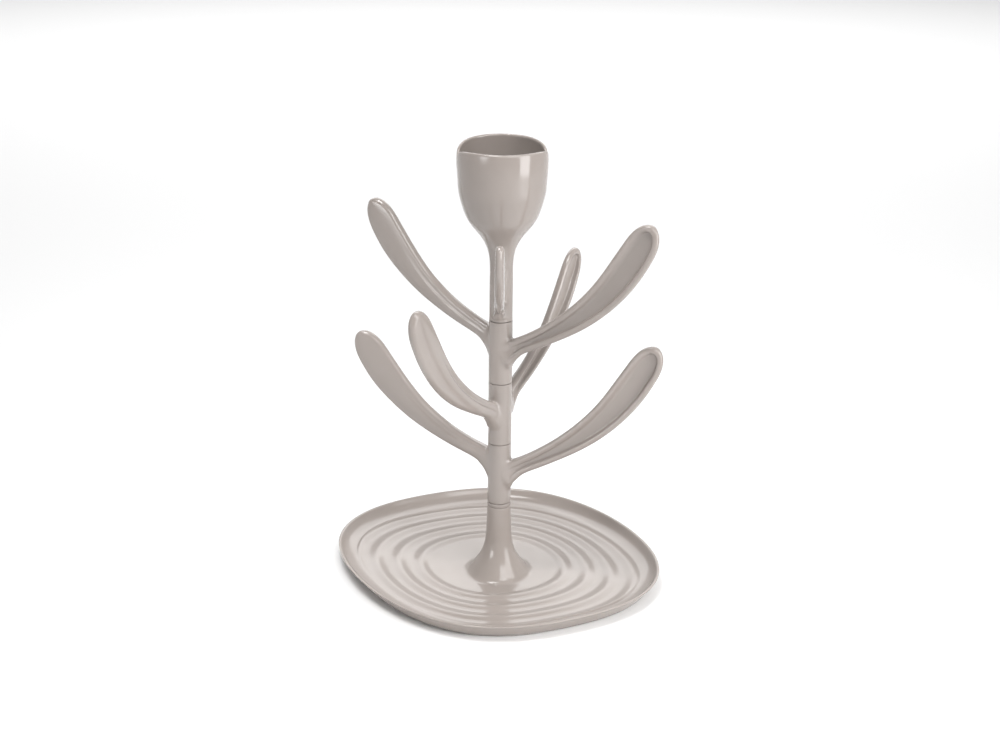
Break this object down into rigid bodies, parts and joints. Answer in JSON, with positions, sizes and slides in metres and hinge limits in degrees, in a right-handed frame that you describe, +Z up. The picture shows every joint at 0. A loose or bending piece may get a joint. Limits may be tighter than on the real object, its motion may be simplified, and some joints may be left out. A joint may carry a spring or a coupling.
{
  "type": "bottle drying rack",
  "caption": "Countertop rack for drying baby bottles: pebble-shaped drip tray, turning twin-arm branches on a stem and a tulip cup on top.",
  "frame": {"origin": "on the stem axis, in the plane of the surface the tray stands on", "axes": "+Z up along the stem, -Y towards the front small arm of the cup piece"},
  "size_m": [0.2346, 0.2266, 0.3194],
  "materials": {
    "tray_plastic": "glossy",
    "connector_plastic": "glossy",
    "arm_plastic": "glossy",
    "cup_plastic": "glossy"
  },
  "bodies": {
    "base": {"tray": "tray_plastic"},
    "connector": {"base_connector": "connector_plastic"},
    "lower_branch": {"lower_arms": "arm_plastic"},
    "middle_branch": {"middle_arms": "arm_plastic"},
    "upper_branch": {"upper_arms": "arm_plastic"},
    "cup_top": {"tulip_cup": "cup_plastic"}
  },
  "joints": [
    {"name": "stack_lift", "type": "slide", "parent": "base", "child": "connector", "axis": [0, 0, 1], "range_m": [0, 0.012]},
    {"name": "lower_turn", "type": "hinge", "parent": "connector", "child": "lower_branch", "pos_m": [0, 0, 0.0601], "axis": [0, 0, 1], "continuous": true},
    {"name": "middle_turn", "type": "hinge", "parent": "lower_branch", "child": "middle_branch", "pos_m": [0, 0, 0.1055], "axis": [0, 0, 1], "continuous": true},
    {"name": "upper_turn", "type": "hinge", "parent": "middle_branch", "child": "upper_branch", "pos_m": [0, 0, 0.1509], "axis": [0, 0, 1], "continuous": true},
    {"name": "cup_turn", "type": "hinge", "parent": "upper_branch", "child": "cup_top", "pos_m": [0, 0, 0.1963], "axis": [0, 0, 1], "continuous": true}
  ]
}
